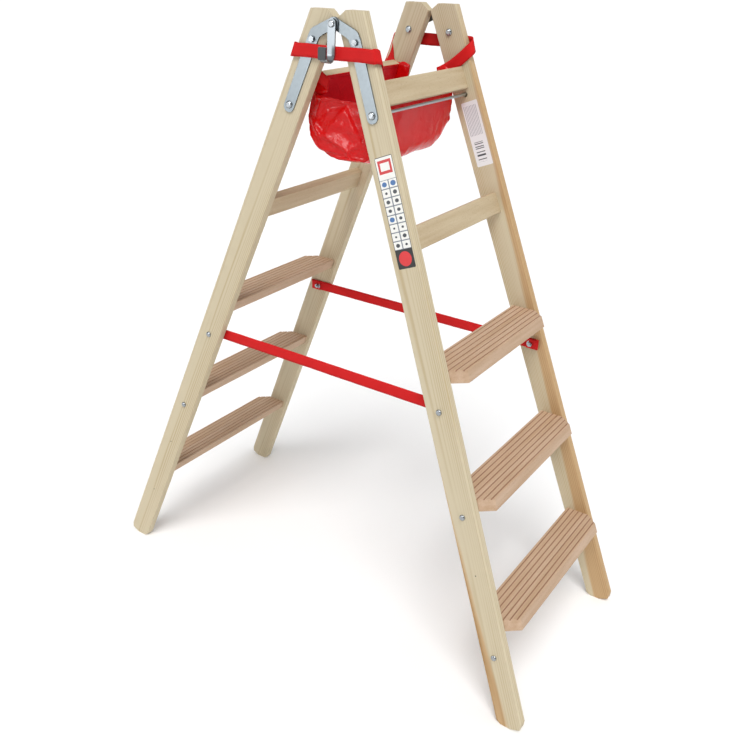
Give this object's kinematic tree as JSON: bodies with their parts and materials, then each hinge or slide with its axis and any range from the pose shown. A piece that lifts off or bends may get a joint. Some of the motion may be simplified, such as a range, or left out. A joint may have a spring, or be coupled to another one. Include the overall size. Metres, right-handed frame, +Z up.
{
  "type": "wooden double-sided stepladder",
  "caption": "Folding wooden A-frame stepladder with treads on both sides, hinged top, spreader webbing, a hanging tool bag and a bucket hook.",
  "frame": {"origin": "on the floor, at the middle of the four feet", "axes": "+Z up, X along the hinge axis, the front frame leans towards -Y, +X is the side without the bucket hook"},
  "size_m": [0.5588, 1.2118, 1.39],
  "materials": {
    "softwood": "planed pine, unfinished",
    "beech": "planed beech with sawn grooves",
    "rung_wood": "planed hardwood",
    "zinc_steel": "zinc plated, pressed sheet",
    "bright_steel": "zinc plated fasteners and rods",
    "webbing": "woven red webbing",
    "bag_fabric": "glossy red coated fabric",
    "rubber": "dark grey moulded",
    "sticker": "coated paper, satin"
  },
  "bodies": {
    "front_frame": {"data_label": "sticker", "front_hinge_bolts": "bright_steel", "front_hinge_nuts": "bright_steel", "front_left_stile": "softwood", "front_lower_tread": "beech", "front_middle_tie_rod": "bright_steel", "front_middle_tread": "beech", "front_right_stile": "softwood", "front_second_rung": "rung_wood", "front_strap_bolts": "bright_steel", "front_strap_nuts": "bright_steel", "front_strap_washers": "bright_steel", "front_tie_rod_nuts": "bright_steel", "front_top_rung": "rung_wood", "front_top_tie_rod": "bright_steel", "front_tread_nails": "bright_steel", "front_upper_tread": "beech", "left_bag_band": "webbing", "left_front_hinge_leaf": "zinc_steel", "left_pivot_rivet": "bright_steel", "left_spreader_strap": "webbing", "lower_stile_bolt": "bright_steel", "right_bag_band": "webbing", "right_front_hinge_leaf": "zinc_steel", "right_pivot_rivet": "bright_steel", "right_spreader_strap": "webbing", "tool_bag": "bag_fabric", "use_label": "sticker"},
    "rear_frame": {"left_rear_hinge_leaf": "zinc_steel", "rear_hinge_bolts": "bright_steel", "rear_hinge_nuts": "bright_steel", "rear_left_stile": "softwood", "rear_lower_tread": "beech", "rear_middle_tie_rod": "bright_steel", "rear_middle_tread": "beech", "rear_right_stile": "softwood", "rear_second_rung": "rung_wood", "rear_strap_bolts": "bright_steel", "rear_strap_nuts": "bright_steel", "rear_strap_washers": "bright_steel", "rear_tie_rod_nuts": "bright_steel", "rear_top_rung": "rung_wood", "rear_top_tie_rod": "bright_steel", "rear_tread_nails": "bright_steel", "rear_upper_tread": "beech", "right_rear_hinge_leaf": "zinc_steel"},
    "bucket_hook": {"bucket_hook": "zinc_steel", "bucket_hook_pad": "rubber"}
  },
  "joints": [
    {"name": "frame_fold", "type": "hinge", "parent": "front_frame", "child": "rear_frame", "pos_m": [0, 0, 1.3673], "axis": [-1, 0, 0], "range_deg": [0, 43.6], "deforming": ["left_spreader_strap", "right_spreader_strap", "left_bag_band", "right_bag_band", "tool_bag"]},
    {"name": "bucket_hook_swing", "type": "hinge", "parent": "front_frame", "child": "bucket_hook", "pos_m": [-0.19, 0, 1.3673], "axis": [1, 0, 0], "range_deg": [-35, 35]}
  ]
}
